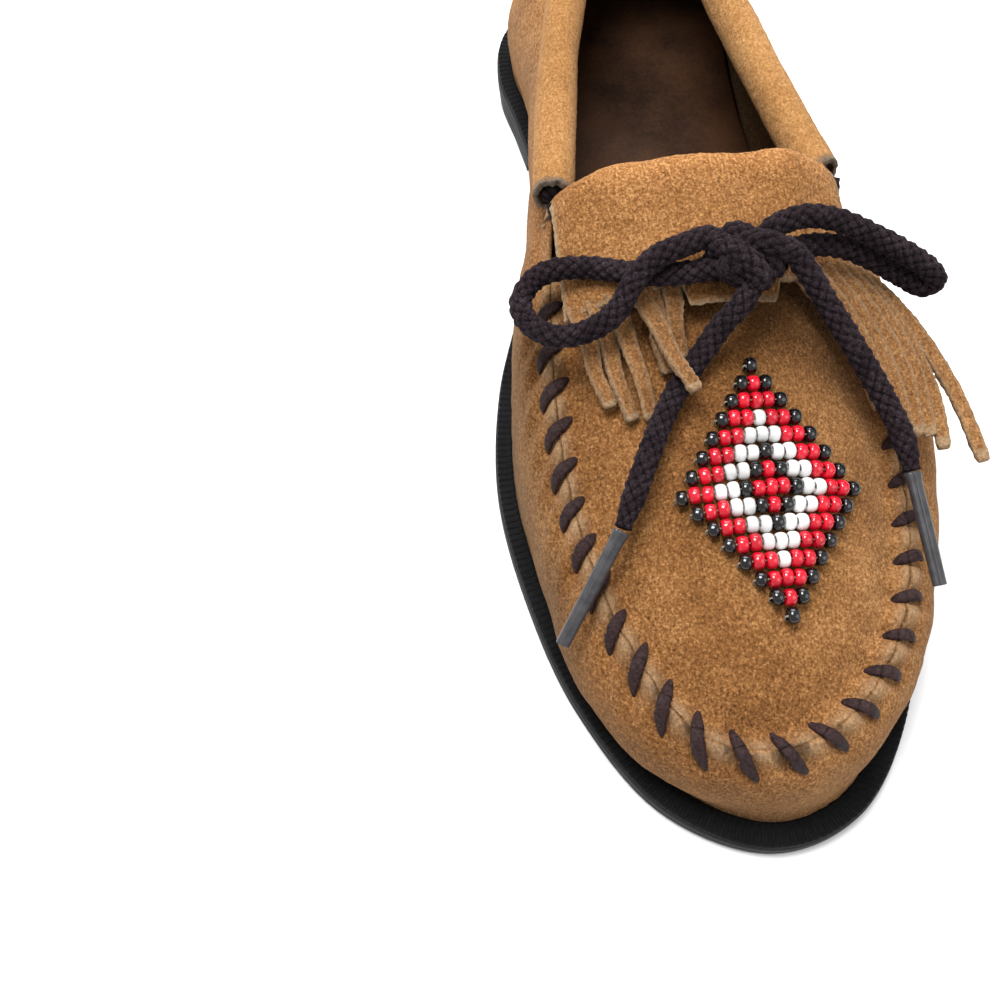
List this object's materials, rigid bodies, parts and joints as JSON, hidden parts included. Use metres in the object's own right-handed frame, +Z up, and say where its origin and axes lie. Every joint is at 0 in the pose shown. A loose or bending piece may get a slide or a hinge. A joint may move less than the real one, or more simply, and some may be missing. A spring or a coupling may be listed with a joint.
{
  "type": "beaded suede moccasin",
  "caption": "Left suede moccasin with a whipstitched plug, a plain diamond of beadwork, a fringed flap, a lace in its rolled collar and a low-heeled rubber sole.",
  "frame": {"origin": "on the floor under the middle of the shoe's box", "axes": "+Z up, -Y towards the toe, -X towards the inner side of the foot"},
  "size_m": [0.107, 0.264, 0.0764],
  "materials": {
    "suede": "matte tan-brown suede with a short nap",
    "rubber": "satin black",
    "thong_leather": "dull dark brown",
    "lining_leather": "smooth dark brown with a slight sheen",
    "board": "matte fibre board",
    "foam": "matte cushion foam",
    "filler": "matte felt filler",
    "lace": "braided dark aubergine cotton",
    "aglet_plastic": "semi-gloss dark grey",
    "bead_red": "glossy opaque red",
    "bead_white": "glossy opaque white",
    "bead_black": "glossy opaque black"
  },
  "bodies": {
    "shoe": {"outsole": "rubber", "heel_block": "rubber", "welt": "rubber", "bottom_filler": "filler", "insole_board": "board", "insole_foam": "foam", "sock_lining": "lining_leather", "upper_wall": "suede", "plug": "suede", "whipstitch_thong": "thong_leather", "heel_counter": "board", "counter_lining": "lining_leather", "tongue": "suede", "collar_casing": "suede", "lace_in_casing": "lace", "bead_row_01": "bead_black", "bead_row_02": "bead_red", "bead_row_03": "bead_red", "bead_row_04": "bead_white", "bead_row_05": "bead_white", "bead_row_06": "bead_black", "bead_row_07": "bead_red", "bead_row_08": "bead_red", "bead_row_09": "bead_red", "bead_row_10": "bead_black", "bead_row_11": "bead_white", "bead_row_12": "bead_white", "bead_row_13": "bead_red", "bead_row_14": "bead_red", "bead_row_15": "bead_black"},
    "flap": {"fringe_flap": "suede", "lace_run_medial": "lace", "lace_run_lateral": "lace", "bow_loop_medial": "lace", "bow_loop_lateral": "lace", "lace_end_medial": "lace", "lace_end_lateral": "lace", "lace_knot": "lace", "aglet_medial": "aglet_plastic", "aglet_lateral": "aglet_plastic"}
  },
  "joints": [
    {"name": "flap_lift", "type": "hinge", "parent": "shoe", "child": "flap", "pos_m": [0, 0.0078, 0.0619], "axis": [-1, 0, 0], "range_deg": [0, 30]}
  ]
}
